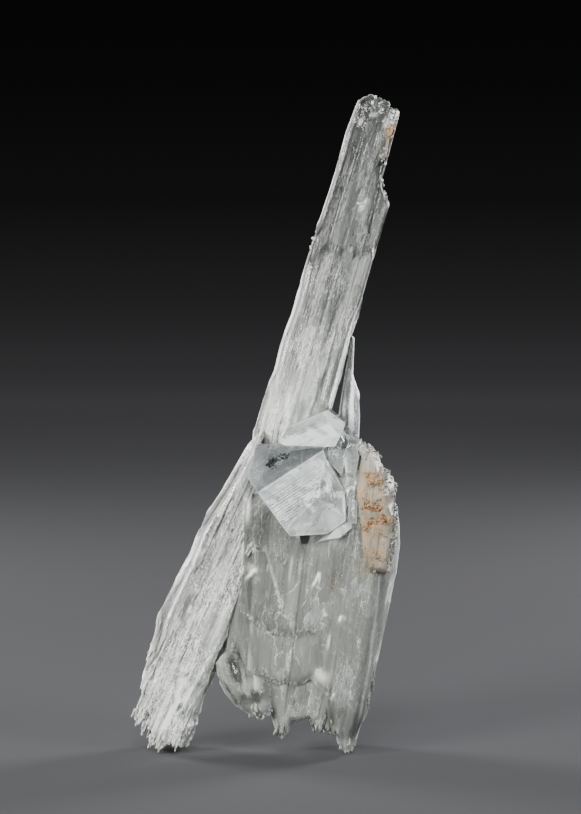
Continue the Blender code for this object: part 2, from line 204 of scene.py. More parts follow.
def blade(outline, leans, faces, layers, chance, spots=(), grid=(0.2, 0.8), ragged=(1.2, 0.9),
          rounding=1.4, relief=1.0, edge_shade_band=0.45):
    """A closed blade that fills an outline, cleaved into laths along its fan lines.

    Its front and back start at the two depths in faces. A layer (side, outline, depth, width,
    ragged) carries that side to its own depth, over a round shoulder of its width. The LATHS
    add their steps, and both sides come together over a round edge, whose lines lie so that
    they are evenly spaced in depth. Each lath ends up to ragged short of the outline, in round
    teeth, and ragged is length and width of them. Places beyond the outline are brought back
    to it, and the laths that show on the sides lie inwards by their own steps.

    Milk and shade follow the shape, with painted light. A layer ends in a white lip, a painted
    highlight on an end wall that faces away from the lamps, and its long sides, which face the
    lamps, get painted shade. The blade's rim is a painted highlight and its ends are white, and
    the last argument is the strength of a grey band of painted shade inside them, also milkier.
    """
    wide = fan_lines(outline, leans, np.array([0.5]))[4]
    climb = np.linspace(0.05, 0.98, round((faces[1] - faces[0]) / 0.7))
    rim = (rounding * (1 - np.sqrt(1 - climb**2)) + 0.004) / wide
    broad = np.linspace(rim[-1], 1 - rim[-1], int(wide / grid[0]))[1:-1]
    shares = np.concatenate([rim, broad, 1 - rim[::-1]])
    start, way, low, high, wide = fan_lines(outline, leans, shares)
    for ends, sign in ((low, 1), (high, -1)):
        count, tooth, across = split(shares, wide, ragged[1], chance)
        short = (chance.power(0.55, count) * ragged[0])[tooth] + 0.35 * ragged[0] * (2 * across) ** 2
        ends += sign * short
    high = np.maximum(high, low + 0.4)
    even = np.linspace(0, 1, int((high - low).max() / grid[1]))
    run = 0.35 * even + 0.65 * (0.5 - 0.5 * np.cos(np.pi * even))
    along = low[:, None] + (high - low)[:, None] * run
    flat = start[:, None] + way[:, None] * along[..., None]
    inside, back_in = depth_inside(flat, outline)
    flat = flat + np.where(inside < 0, 1, 0)[..., None] * back_in
    flat[..., 1] = np.maximum(flat[..., 1], 0.0)
    inside = inside.clip(0)
    to_end = np.minimum(along - low[:, None], high[:, None] - along)
    edge = quarter_round(np.minimum(inside, 1.6 * to_end), rounding)
    off_end = 1 - np.exp(-to_end / 1.5)
    middle = (faces[0] + faces[1]) / 2
    sides, values = [], []
    for sign, face in zip((-1, 1), faces):
        depth = np.full(inside.shape, float(face))
        lip_painted_light, slope_painted_shade = np.zeros(inside.shape), np.zeros(inside.shape)
        for side, layer, reach, width, uneven in layers:
            if side != sign:
                continue
            count, lath, _ = split(shares, wide, LAYER_LATH, chance)
            slid = chance.normal(size=count)[lath] * uneven
            seen = flat + way[:, None] * slid[:, None, None] + (0, SINK * min(reach, 0))
            within, to_rim = depth_inside(seen, layer)
            depth += (reach - depth) * quarter_round(within, width)
            endwise = np.abs((to_rim * way[:, None]).sum(axis=-1)) / (np.abs(within) + 0.01)
            endwise = endwise.clip(0, 1) ** 3
            # Painted light: the lip whitens a layer's end wall, which faces away from the lamps, as a
            # painted highlight, and the slope is painted shade on its long sides.
            lip_painted_light += bell((within - 0.2) / 0.22) * (0.05 + 0.95 * endwise)
            slope_painted_shade += bell((within / width - 0.25) / 0.3) * (1 - endwise)
        lip_painted_light = lip_painted_light.clip(0, 1)
        raised = 0.22 * np.sin(along / chance.uniform(9, 14) + shares[:, None] * 5 + chance.uniform(0, 6))
        milk, shade = np.zeros(inside.shape), np.ones(inside.shape)
        for pitch, breaks, tilt, height, whiter, paler in LATHS:
            steps = lath_steps(shares, run, wide, pitch, breaks, tilt, chance)
            raised += height * steps
            milk += relief * whiter * steps
            shade += relief * paler * steps
        depth += relief * sign * raised
        sides.append(middle + sign * np.maximum(sign * (depth - middle) * edge, 0.15))
        spot = spotted(spots if sign < 0 else (), flat + np.stack([0 * depth, SINK * depth], axis=-1))
        # Painted light: the band darkens the edges as painted shade and makes them milkier, and the rim is
        # a painted highlight along the outline.
        band = bell((inside - 0.7) / 0.7) * off_end
        rim = 0.5 * bell(inside / 0.2)
        milk += spot[..., 0] + 0.6 * lip_painted_light + 0.3 * edge_shade_band * band + rim + 0.25 * np.exp(-to_end / 0.8)
        shade += spot[..., 1] + 0.8 * lip_painted_light + rim - 1.3 * edge_shade_band * (band + 0.7 * slope_painted_shade).clip(0, 1)
        values.append((milk, shade, spot[..., 2]))
    level = side_steps(np.concatenate(sides), run, SIDE_LATH, 5, chance)
    level = level * np.tile(bell(inside / SIDE_LATH) * off_end, (2, 1))
    both = []
    for side, (milk, shade, _), lift in zip(sides, values, np.split(level, 2)):
        inwards = 0.7 * relief * lift * np.where(shares < 0.5, 1, -1)[:, None]
        both.append(np.stack([
            flat[..., 0] + inwards * way[:, None, 1], side,
            np.maximum(flat[..., 1] - inwards * way[:, None, 0], 0.0),
        ], axis=-1))
        milk += 0.25 * lift
        shade -= 0.2 * lift
    front, back = both
    ring = np.concatenate([front, back[::-1]], axis=0)
    points = np.arange(ring.shape[0] * len(run)).reshape(-1, len(run))
    after = np.roll(points, -1, axis=0)
    walls = np.stack([points[:, :-1], after[:, :-1], after[:, 1:], points[:, 1:]], axis=-1)
    here, there = points[: len(shares)], points[::-1][: len(shares)]
    caps = [
        np.stack([here[1:, row], here[:-1, row], there[:-1, row], there[1:, row]], axis=-1)[:, ::turn]
        for row, turn in ((0, 1), (-1, -1))
    ]
    quads = np.concatenate([walls.reshape(-1, 4), *caps])
    named = {
        name: np.concatenate([ahead, behind[::-1]], axis=0).ravel()
        for name, ahead, behind in zip(("milk", "shade", "rust"), *values)
    }
    return ring.reshape(-1, 3), quads, named


def grains(surface, spots, sizes, stretch, chance, axis=(0.0, -1.0, 0.0), spread=0.7):
    """Many small blunt crystals on a surface: a six-sided prism with pointed ends, scaled and turned.

    A spot is x, z, half-width, half-length, count and changes. Its grains sit on points
    of the surface's front drawn from within its oval, and point along the axis, with a spread.
    """
    angle = np.arange(6) * np.pi / 3
    ring = np.stack([np.cos(angle), np.sin(angle), 0 * angle], axis=-1) / 2
    prism = np.concatenate([ring - (0, 0, 0.5), ring + (0, 0, 0.5), [(0, 0, -0.8), (0, 0, 0.85)]])
    i = np.arange(6)
    j = (i + 1) % 6
    tris = np.concatenate([
        np.stack([i, j, j + 6], axis=-1), np.stack([i, j + 6, i + 6], axis=-1),
        np.stack([i + 6, j + 6, 0 * i + 13], axis=-1), np.stack([j, i, 0 * i + 12], axis=-1),
    ])
    points, _, _ = surface
    front = points[points[:, 1] < np.median(points[:, 1])]
    seen = front[:, 2] + SINK * front[:, 1]
    places, changes = [], []
    for x, z, half_width, half_length, count, *change in spots:
        near = ((front[:, 0] - x) / half_width) ** 2 + ((seen - z) / half_length) ** 2 < 1
        places.append(front[near][chance.integers(0, near.sum(), count)])
        changes.append(np.tile(change + [0.0] * (3 - len(change)), (count, 1)))
    places, changes = np.concatenate(places), np.concatenate(changes)
    total = len(places)
    size = sizes[0] + (sizes[1] - sizes[0]) * chance.random(total) ** 2.5
    places = places + chance.normal(size=(total, 3)) * 0.25
    places[:, 2] = np.maximum(places[:, 2], 0.9 * size * max(stretch, 1))
    axis = np.array(axis) + spread * chance.normal(size=(total, 3))
    axis /= np.linalg.norm(axis, axis=1, keepdims=True)
    first = np.cross(axis, chance.normal(size=(total, 3)))
    first /= np.linalg.norm(first, axis=1, keepdims=True)
    second = np.cross(axis, first)
    scaled = prism[None] * np.stack([size, size * 0.8, size * stretch], axis=-1)[:, None]
    made = (
        places[:, None] + scaled[..., :1] * first[:, None]
        + scaled[..., 1:2] * second[:, None] + scaled[..., 2:] * axis[:, None]
    )
    faces = tris[None] + (np.arange(total) * len(prism))[:, None, None]
    own = chance.normal(size=total) * 0.12
    looks = changes[:, 0] + own, 1 + changes[:, 1] + own, changes[:, 2] * (1 + own)
    named = {name: np.repeat(value, len(prism)) for name, value in zip(("milk", "shade", "rust"), looks)}
    return made.reshape(-1, 3), faces.reshape(-1, 3), named


def add_object(name, data):
    """A new object in the scene, for a mesh, a light or a camera."""
    made = bpy.data.objects.new(name, data)
    bpy.context.scene.collection.objects.link(made)
    return made


def make_piece(name, parts, material, smooth=True):
    """Joins closed meshes into one piece at the origin, in metres, that rides on the body.

    A part is its points, its faces and its named values, one to a point or one to a face.
    """
    starts = np.cumsum([0] + [len(part[0]) for part in parts])
    points = np.concatenate([part[0] for part in parts])
    faces = [face for part, start in zip(parts, starts) for face in (part[1] + start).tolist()]
    mesh = bpy.data.meshes.new(name)
    mesh.from_pydata(((points + SHIFT) * MM).tolist(), [], faces, shade_flat=not smooth)
    for key in parts[0][2]:
        value = np.concatenate([part[2][key] for part in parts]).astype(np.float32)
        domain = "POINT" if len(value) == len(points) else "FACE"
        mesh.attributes.new(key, "FLOAT", domain).data.foreach_set("value", value)
    mesh.materials.append(material)
    piece = add_object(name, mesh)
    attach(piece, "root")
    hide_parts("selenite_cluster")


def operator(name, reflected=False):
    """A method that puts a Math node between a value and another one, or between them reflected."""
    def method(self, other):
        a, b = (other, self) if reflected else (self, other)
        return self.look.node("Math", {"operation": name}, {0: a, 1: b})
    return method


class Value:
    """A shader socket in an expression: + - * / add Math nodes, also with plain numbers."""

    __add__, __radd__ = operator("ADD"), operator("ADD", True)
    __sub__, __rsub__ = operator("SUBTRACT"), operator("SUBTRACT", True)
    __mul__, __rmul__ = operator("MULTIPLY"), operator("MULTIPLY", True)
    __truediv__, __rtruediv__ = operator("DIVIDE"), operator("DIVIDE", True)
    at_least, at_most = operator("MAXIMUM"), operator("MINIMUM")

    def __init__(self, look, socket):
        self.look, self.socket = look, socket

    def clamped(self, low=0.0, high=1.0):
        return self.at_least(low).at_most(high)

    def past(self, start, steepness, low=0.0):
        """Climbs from low at a start value to 1, by the steepness."""
        return ((self - start) * steepness).clamped(low)


class Look:
    """A material's node tree. node adds any node: its settings first, then its inputs."""

    def __init__(self, name):
        self.material = bpy.data.materials.new(name)
        self.material.use_nodes = True
        self.tree = self.material.node_tree
        self.tree.nodes.clear()

    def node(self, kind, settings=None, inputs=None, output=0):
        made = self.tree.nodes.new("ShaderNode" + kind)
        for key, value in (settings or {}).items():
            if key == "stops":
                ramp = made.color_ramp.elements
                while len(ramp) < len(value):
                    ramp.new(1.0)
                for stop, (position, colour) in zip(ramp, value):
                    stop.position, stop.color = position, (*colour, 1.0)
            else:
                setattr(made, key, value)
        for key, value in (inputs or {}).items():
            if isinstance(value, Value):
                self.tree.links.new(value.socket, made.inputs[key])
            else:
                made.inputs[key].default_value = value
        return Value(self, made.outputs[output]) if len(made.outputs) else None

    def attribute(self, name):
        return self.node("Attribute", {"attribute_name": name}, output="Fac")

    def grain_axes(self, lean, across, along, seed):
        """Object coordinates turned along a blade, with its grain's two sizes as the unit."""
        return self.node(
            "Mapping", {"vector_type": "TEXTURE"},
            {"Vector": self.node("TexCoord", output="Object"), "Location": (seed * MM, seed * MM, 0),
             "Rotation": (0.0, np.radians(lean), 0.0), "Scale": (across * MM, across * MM, along * MM)},
        )

    def noise(self, lean, across, along, detail=2.0, seed=0.0, output=0):
        """Noise in streaks: across and along are its grain in millimetres, in a blade's own axes."""
        axes = self.grain_axes(lean, across, along, seed)
        return self.node("TexNoise", None, {"Vector": axes, "Scale": 1.0, "Detail": detail}, output)

    def fractures(self, lean, across, along, width, seed=0.0):
        """Breaks inside a crystal: long cells bent by noise. Gives 1 on their thin edges, and a
        level for each cell.
        """
        bend = self.noise(lean, across * 0.6, along * 0.4, 2.0, seed + 3, output="Color")
        axes = self.grain_axes(lean, across, along, seed)
        bent = self.node(
            "VectorMath", {"operation": "MULTIPLY_ADD"}, {0: bend, 1: (0.9, 0.9, 0.9), 2: axes}
        )
        inputs = {"Vector": bent, "Scale": 1.0}
        far = self.node("TexVoronoi", {"feature": "DISTANCE_TO_EDGE"}, inputs, output="Distance")
        cell = self.node("TexVoronoi", {"feature": "F1"}, inputs, output="Color")
        level = self.node("SeparateXYZ", None, {0: cell}, output="X")
        return 1.0 - (far / width).clamped(), level

    def mixed(self, share, a, b, blend="MIX"):
        """Two colours, mixed by a share or blended."""
        settings = {"data_type": "RGBA", "blend_type": blend, "clamp_result": True}
        return self.node("Mix", settings, {0: share, 6: a, 7: b}, output=2)

    def crystal(self, milk, clear, milky, bump):
        """Clear gypsum mixed with milky gypsum, each a colour, a roughness and a transmission."""
        shaders = [
            self.node("BsdfPrincipled", None, {
                "Base Color": colour, "Roughness": roughness, "Transmission Weight": through,
                "IOR": IOR, "Normal": bump,
            })
            for colour, roughness, through in (clear, milky)
        ]
        return self.node("MixShader", None, {0: milk, 1: shaders[0], 2: shaders[1]})

    def finish(self, surface, absorbs=None):
        inputs = {"Surface": surface}
        if absorbs:
            medium = {"Color": (*absorbs[0], 1.0), "Density": absorbs[1]}
            inputs["Volume"] = self.node("VolumeAbsorption", None, medium)
        self.node("OutputMaterial", None, inputs)
        return self.material


# Iron's colours from little to much: tan, brown, golden, orange and dark. The bright golden stop is a
# painted sparkle along the edges of the orange patches.
RUST = [
    (0.32, (0.30, 0.258, 0.19)), (0.45, (0.305, 0.229, 0.134)), (0.495, (0.66, 0.42, 0.20)),
    (0.535, (0.38, 0.165, 0.06)), (0.62, (0.12, 0.035, 0.012)),
]


def gypsum_look(name, lean, base_milk, clear_tint, milk_tints, streaks=1.0, width=1.0, haze=0.12,
                flecks=1.0, cells=1.0):
    """Gypsum that goes from clear to milky in streaks along its laths.

    The share of milk is a base, plus the mesh's own milk and broad and fine streaks, less clear
    scratches and pits. White threads, flecks and cracks lie in it, and each broken cell has its
    own tone. The colours are times the mesh's shade, which holds tone as well as painted light and
    shade, and its rust lies over them.
    """
    look = Look(name)
    patch = look.noise(lean, 4.5 * width, 9.0, 2.0, seed=70)
    fine = look.noise(lean, 0.27 * width, 2.3, 4.0)
    thread = look.noise(lean, 0.16 * width, 1.2, 2.0, seed=90)
    broad = look.noise(lean, 1.3 * width, 13.0, 2.0, seed=40)
    grit = look.noise(lean, 0.24, 0.5, 3.0, seed=15)
    edge, cell = look.fractures(lean, 2.6 * width, 8.0, 0.03, seed=5)
    lively = patch.past(0.36, 3.4, 0.15)
    fleck = grit.past(0.57, 9.0) * patch.past(0.40, 5.0) * flecks
    pit = ((0.41 - grit) * 8.0).clamped() * lively * flecks
    white = thread.past(0.56, 7.0) * lively * flecks
    scratch = ((0.44 - thread) * 7.0).clamped() * lively
    crack = edge * broad.past(0.44, 5.0)
    milk = (
        base_milk + look.attribute("milk") + (broad - 0.5) * (0.55 * streaks)
        + (cell - 0.5) * (0.22 * cells) + (fine - 0.5) * lively * (1.3 * streaks) + fleck * 0.5
        + crack * 0.4 + white * 0.3 - scratch * (0.45 * streaks) - pit * 0.25
    ).clamped(0.02)
    tone = (
        0.42 + (broad - 0.5) * (0.5 * streaks) + (fine - 0.5) * lively * (1.2 * streaks)
        + (cell - 0.5) * (0.28 * cells) + white * (0.4 * streaks) + fleck * 0.6 + crack * 0.3
        - pit * 0.25 + look.attribute("milk") * 0.35
    ).clamped()
    stops = list(zip((0.12, 0.45, 0.95), milk_tints))
    tint = look.node("ValToRGB", {"stops": stops}, {"Fac": tone})
    tint = look.mixed(1.0, tint, look.attribute("shade"), "MULTIPLY")
    rust_noise = look.noise(0.0, 1.2, 1.2, 3.0, seed=21)
    rust = look.attribute("rust")
    rust_tint = look.node(
        "ValToRGB", {"stops": RUST}, {"Fac": rust_noise * 0.6 + rust * 0.25 + (grit - 0.5) * 0.7}
    )
    tint = look.mixed((rust * 2.0 + (rust_noise - 0.5) * rust * 1.5).clamped(), tint, rust_tint)
    relief = fine * lively + grit * 0.5 + thread * 0.5
    bump = look.node("Bump", None, {"Height": relief, "Strength": 0.6, "Distance": 0.12 * MM})
    clear = (*clear_tint, 1.0), 0.06 + grit * 0.12, 1.0
    milky = tint, (0.52 + fine * 0.2 - (white + fleck) * 0.45).clamped(0.06), haze
    return look.finish(look.crystal(milk, clear, milky, bump))


chance = np.random.default_rng(3)
tall_look = gypsum_look(
    "silky gypsum", 16.3, 0.76, (0.90, 0.94, 0.93),
    ((0.12, 0.132, 0.120), (0.34, 0.36, 0.335), (0.97, 0.98, 0.95)), streaks=1.3, cells=0.5,
)
tall_mesh = blade(
    TALL_BODY, TALL_LEANS, (-1.5, 6.0),
    [(-1, TALL_FRONT, -4.2, 2.0, 0.5), (1, TALL_BACK, 9.0, 1.6, 1.2)],
    chance, TALL_SPOTS, ragged=(0.9, 1.1),
)
TALL_GRAINS = [
    (21.5, 143.6, 1.6, 2.4, 26, 0.4), (24.5, 146, 2.6, 1.8, 34, 0.4),
    (28.2, 143, 1.6, 2.4, 30, 0.4), (28, 139.8, 1.4, 2.2, 36, 0.3, -0.15, 0.5),
    (27, 134, 1.3, 3, 22, 0.2, -0.1, 0.15), (10.2, 116, 1.6, 2.2, 22, 0.3),
    (26.6, 131, 0.9, 5, 40, 0.2), (21.6, 124, 1, 2, 10, 0.4),
]
tall_grains = grains(tall_mesh, TALL_GRAINS, (0.2, 0.8), 0.9, chance)
make_piece("tall_blade", [tall_mesh, tall_grains], tall_look)

# Foot blade: the same kind of blade, whiter and more fibrous, running down to the left from behind
# the block crystal. It ends in a broken fringe of splinters that carry the specimen, with a clear
# scale at the right of it.

FOOT_LEANS = (25.5, 21.5)
FOOT_BODY = [
    (1.9, 78), (-4.2, 70), (-10.5, 59), (-14.7, 53), (-17.9, 44.5), (-20.4, 39.8), (-23.7, 35),
    (-25.5, 30.8), (-26.2, 25), (-27.6, 20.7), (-29.1, 13.5), (-28.2, 12.4), (-30.5, 7.9), (-30, 5.2),
    (-28.2, 3.6), (-26.8, 1.2), (-24.6, 0), (-18.2, 0), (-16.4, 3.4), (-15, 6.5), (-14.6, 10),
    (-13.6, 13), (-11.8, 15.5), (-10, 22), (-7.1, 27.5), (-4.2, 35.3), (-1, 44.3), (5.3, 62.3),
]
FOOT_FRONT = [
    (-2, 71), (-9, 59), (-14.5, 50), (-18.5, 40), (-23, 30), (-25.5, 20), (-27.5, 9), (-24.5, 0.3),
    (-18.5, 0.3), (-16, 7), (-13.5, 14), (-10.5, 22), (-6, 32), (-2, 46), (2, 60),
]
FOOT_SCALE = [
    (-20.6, 5.4), (-18, 6.6), (-15.2, 6.2), (-14.8, 3.8), (-16.6, 0.8), (-19.4, -0.4), (-21.4, 1.4),
]
FOOT_BACK = [
    (-1, 73), (-8, 60), (-13.5, 51), (-17.5, 40), (-22, 29), (-25, 17), (-26.5, 6), (-24, 0.3),
    (-18.8, 0.3), (-16.5, 6), (-12, 16), (-9, 25), (-5, 36), (0, 52),
]
FOOT_SPOTS = [
    (-24, 8, 7, 10, 20, 0.05, 0.32), (-18.4, 33.5, 0.7, 3.2, 24, -0.55, -0.1),
    (-10, 46, 3, 9, 24, 0.1, 0.02), (-15.4, 31.5, 0.9, 1.6, 24, 0.5, 0.06),
    (-20, 17, 2.6, 5, 20, 0.3, 0.06), (-26.3, 19, 1, 2.4, 10, 0.4, 0.05),
    (-13.2, 20, 0.6, 5, 24, -0.3, -0.06), (-16, 25, 0.4, 6, 24, -0.4, -0.08),
    (-18, 3.4, 2.4, 2.6, 10, -0.45, -0.12), (-17.6, 8.6, 1.8, 1.4, 0, -0.1, -0.1),
    (-22.5, 7, 3, 4, 20, 0.12, 0.08), (-5.6, 38, 1.6, 7, 20, -0.12, -0.1),
    (-7, 58, 7, 14, 24, 0, -0.28), (-4.6, 55.4, 0.7, 3.8, 2, 0.5, 0.7),
    (-25.6, 21, 0.9, 1.4, 10, 0.4, 0.3), (-14.5, 18.7, 0.4, 8, 29, 0.5, 0.4),
    (-17.4, 32.6, 0.4, 1, 30, 0.6, 0.6), (-29, 6, 0.8, 1.6, 24, 0.5, 0.5),
    (-21.4, 9, 0.4, 4, 26, 0.5, 0.4),
]
foot_look = gypsum_look(
    "fibrous gypsum", 23.5, 0.82, (0.90, 0.94, 0.92),
    ((0.14, 0.152, 0.14), (0.41, 0.43, 0.405), (0.98, 0.99, 0.97)), streaks=1.4, cells=0.7, flecks=1.9,
)
foot_mesh = blade(
    FOOT_BODY, FOOT_LEANS, (-2.8, 3.8),
    [(-1, FOOT_FRONT, -7.6, 2.2, 0.8), (-1, FOOT_SCALE, -8.5, 0.9, 0.2), (1, FOOT_BACK, 8.0, 2.0, 1.2)],
    chance, FOOT_SPOTS, ragged=(1.8, 0.9), relief=1.15, edge_shade_band=0.3,
)
FOOT_GRAINS = [
    (-28.5, 6.5, 2.2, 3, 40, 0.3), (-25.5, 1.8, 2.4, 1.8, 40, 0.3),
    (-18, 9.4, 2.2, 1.8, 26, 0, -0.06), (-22, 2, 2.6, 1.6, 26, 0.3),
    (-26.8, 22, 1.2, 5, 20, 0.3),
]
foot_grains = grains(foot_mesh, FOOT_GRAINS, (0.25, 0.9), 2.6, chance, (0.38, -0.25, 0.92), 0.15)
make_piece("foot_blade", [foot_mesh, foot_grains], foot_look)

# Curtain: a broad bundle of near-upright, grey-green, half-clear blades. Its front layers end at
# curved ledges, and its lower edge is toothed, with a short finger and one long tip.

CURTAIN_LEANS = (3.5, 11.5)
CURTAIN_BODY = [
    (-6, 58), (-7.5, 42), (-9.6, 27), (-11.3, 20), (-8.7, 13.5), (-6, 11), (-2.6, 9.8), (0.8, 9),
    (1.9, 4.2), (3.4, 2.6), (5, 4.2), (6, 6.6), (9.5, 7), (11.5, 4.6), (15.4, 3.6), (16.8, 0),
    (19.6, 0), (21.2, 5.5), (23.5, 10), (24.4, 15), (25.5, 20.7), (27.1, 26.3), (28.2, 35.3),
    (29.4, 41), (30.2, 47.7), (30, 54), (28.6, 59), (27, 63.5), (24.4, 67.5), (20.5, 70), (15, 71),
    (4, 66),
]
CURTAIN_FRONT = [
    (-5, 58), (-5.2, 42), (-4.5, 31), (0, 27.3), (7, 26.5), (11, 27.5), (12.5, 17), (14, 6),
    (16.6, 0.2), (19.4, 0.2), (21, 7), (23, 18), (25, 32), (26, 44), (25.6, 55), (23, 63), (19, 67),
    (4, 66),
]
CURTAIN_STEP = [
    (-4, 64), (-5, 30), (-3, 17), (1, 15.8), (7, 15.6), (10, 16.5), (15, 12), (16, 64),
]
CURTAIN_BACK = [
    (-7, 56), (-8, 40), (-9, 28), (-7, 20), (0, 14), (6, 11), (13, 8), (16, 0.3), (20, 0.3), (22, 8),
    (25, 22), (27.5, 38), (28.5, 50), (26, 62), (20, 68), (5, 66),
]
# Rows that add a milk of 0.8 or more together with a shade of 0.5 or more are painted glints, highlights on
# breaks inside the curtain. The rows at x 8.6 and 6.1 paint shade: a black gap.
CURTAIN_SPOTS = [
    (21, 27, 7, 18, 8, 0, -0.12), (17.5, 6, 5, 7.5, 10, 0.22, -0.74),
    (17.6, 0.8, 2.6, 2.6, 0, 0.5, 0.45), (15.6, 4, 1, 2.4, -12, 0.3, 0.5),
    (12.4, 17.8, 1.5, 0.9, 60, 0.3, 0.25), (15, 13.4, 0.3, 0.5, 20, 0.9, 0.7),
    (-3, 40, 6, 16, 4, 0, -0.14), (-1.6, 50.5, 2.6, 5.5, 10, -0.3, -0.1),
    (-4.2, 55.4, 0.6, 3.4, 3, 0.9, 0.8), (-3.9, 40.4, 0.35, 1.1, 45, 1.2, 0.9),
    (-2.9, 41.6, 0.45, 1, 60, 1.2, 0.9), (-3.9, 42.3, 0.8, 1, 20, 0.5, 0.35),
    (-3.6, 47.2, 0.3, 0.9, 25, 1, 0.8), (-3, 46.2, 0.5, 0.4, 70, 0.8, 0.5),
    (11.9, 39.6, 0.2, 0.8, 10, 0.8, 0.5), (1.6, 40, 0.16, 6.5, -15, 0.7, 0.15),
    (5.4, 42, 0.4, 3.2, 8, 0.5, 0.1), (7.6, 42.5, 0.35, 2.6, 8, 0.5, 0.1),
    (10.9, 39.1, 0.25, 1.1, 30, 1.2, 0.8), (11.5, 40.4, 0.35, 0.7, 50, 1.2, 0.8),
    (16.8, 30.8, 0.75, 0.22, 0, 1, 0.8), (16.4, 30.4, 0.3, 0.4, 30, 0.8, 0.6),
    (12.4, 17.6, 1.9, 1.6, 20, 0.45, 0.1), (14.6, 50, 3.2, 1, 62, 0.5, 0.12),
    (8.6, 49.2, 0.95, 1.45, 0, 0.6, -3), (6.1, 48.9, 0.7, 1, 0, 0.1, -0.4),
    (2.2, 36, 2, 7, 4, -0.12, -0.08), (-6.6, 21.8, 0.9, 3.4, -14, -0.7, -0.3),
    (-3.6, 26, 0.45, 8, 4, 0.35, 0.08), (19, 8, 3, 5, 10, 0.15, 0.03),
    (15.4, 38, 1.6, 2.2, 0, 0, -0.04, 0.16), (14, 25.6, 0.3, 1.6, 10, 0.8, 0.2),
    (22, 41.5, 3, 2.4, 0, 0, 0, 0.22),
]
curtain_look = gypsum_look(
    "curtain gypsum", 7.5, 0.70, (0.88, 0.93, 0.90),
    ((0.15, 0.163, 0.146), (0.26, 0.277, 0.252), (0.94, 0.96, 0.92)), streaks=0.4, width=1.5, haze=0.15,
    flecks=0.35, cells=0.6,
)
curtain_mesh = blade(
    CURTAIN_BODY, CURTAIN_LEANS, (-8.2, 4.0),
    [(-1, CURTAIN_STEP, -10.2, 2.6, 0.15), (-1, CURTAIN_FRONT, -12.0, 3.0, 0.15),
     (1, CURTAIN_BACK, 10.0, 3.0, 1.5)],
    chance, CURTAIN_SPOTS, grid=(0.24, 0.7), ragged=(1.3, 0.8), rounding=2.8, relief=0.5, edge_shade_band=0.3,
)
CURTAIN_GRAINS = [
    (12, 6.2, 3.6, 1.6, 30, 0.1), (18.2, 1.6, 2.2, 1.6, 14, 0.1),
    (3.4, 4.4, 1.8, 2, 16, 0.1), (-2.2, 10.8, 2.6, 1.6, 24, 0.4, 0.05),
    (23.6, 14, 1.2, 5, 22, 0, -0.1, 0.1), (-5, 44, 1.6, 6, 16, 0.4, 0.05),
]
curtain_grains = grains(
    curtain_mesh, CURTAIN_GRAINS, (0.25, 0.9), 2.4, chance, (0.12, -0.2, 1.0), 0.2
)
make_piece("curtain", [curtain_mesh, curtain_grains], curtain_look)

# Broken lobe: the glassy, rounded break at the curtain's lower left, with two clear windows,
# darkened by painted shade, and a rim of small grains below.

LOBE = [
    (-11.6, 20.9), (-10, 23), (-7.8, 24.1), (-6, 23.6), (-4.6, 20.6), (-1, 19.1), (1.5, 16.2),
    (1.9, 11.7), (0.8, 8.8), (-1, 7.9), (-4.2, 9.2), (-7.1, 11), (-9.3, 13.5), (-10.9, 16.6),
]
# The first four rows clear and darken two windows: their darkness is painted shade for the dark behind
# them.
LOBE_SPOTS = [
    (-7.2, 19.2, 0.9, 3.2, -22, -0.75, -0.55), (-2.3, 12.9, 1.2, 1.5, 0, -0.8, -0.65),
    (-8.2, 13.6, 0.35, 2.4, -30, -0.6, -0.4), (-5.2, 12.8, 1.4, 0.9, 60, -0.35, -0.2),
    (-2.4, 15.8, 2.2, 0.5, 80, 0.4, 0.1), (-5.2, 17, 0.5, 3, -10, 0.3, 0.1),
    (-3, 9.8, 3.4, 0.6, 96, 0.35, 0.1), (-0.8, 10.8, 2, 1.3, 30, 0.35, 0.2),
    (-9.6, 18, 1, 4, -18, 0.2, 0.02),
]
lobe_look = gypsum_look(
    "glassy gypsum", -12.0, 0.62, (0.90, 0.94, 0.91),
    ((0.10, 0.11, 0.10), (0.32, 0.335, 0.31), (0.94, 0.96, 0.92)), streaks=0.3, width=2.0, haze=0.2,
    flecks=0.3,
)
lobe_mesh = blade(
    LOBE, (-14.0, 4.0), (-11.2, 1.0), [], chance, LOBE_SPOTS, grid=(0.16, 0.22),
    ragged=(0.3, 1.0), rounding=4.5, relief=0.7, edge_shade_band=0.0,
)
LOBE_GRAINS = [(-1.6, 9.6, 2.6, 1.8, 26, 0.5, 0.1)]
lobe_grains = grains(lobe_mesh, LOBE_GRAINS, (0.2, 0.7), 1.6, chance, (0, -0.3, -1), 0.3)
make_piece("broken_lobe", [lobe_mesh, lobe_grains], lobe_look)

# Block crystal: the big clear crystal in front, a blunt prism with a plain facet above, dark with
# painted shade for the dark that it reflects, a finely striated one below it and small lower
# ones. Its facets are lit and shaded by painted light. It grew half sunk in the curtain.

RIDGE_LEFT, RIDGE_RIGHT = np.array([-1.9, -17.0, 60.8]), np.array([12.7, -13.5, 69.9])
TOP_LEFT, TOP_RIGHT = np.array([-2.6, -8.0, 70.7]), np.array([15.0, -8.0, 70.6])
LEDGE_LOW, LEDGE_HIGH = np.array([4.2, -19.3, 52.8]), np.array([11.3, -16.9, 59.4])
BOTTOM_LEFT, BOTTOM_RIGHT = np.array([5.3, -18.0, 51.2]), np.array([13.6, -14.4, 51.2])
SIDE_LOW, SIDE_HIGH = np.array([17.7, -13.2, 53.9]), np.array([17.5, -11.8, 61.0])
BACKWARDS = np.array([0.0, 14.0, 0.0])
DOWN_FACET = np.cross(RIDGE_RIGHT - RIDGE_LEFT, (0, 1, 0))
DOWN_FACET = DOWN_FACET / np.linalg.norm(DOWN_FACET)


def plane_through(a, b, c, inside):
    """The unit normal that points away from a point inside, and its distance from the origin."""
    normal = np.cross(b - a, c - a)
    normal = normal / np.linalg.norm(normal)
    normal = normal * np.sign(normal @ (a - inside))
    return normal, normal @ a


def plane_at(point, way):
    """The unit normal along a way, and the distance of the plane through a point."""
    normal = np.array(way, float) / np.linalg.norm(way)
    return normal, normal @ np.array(point, float)


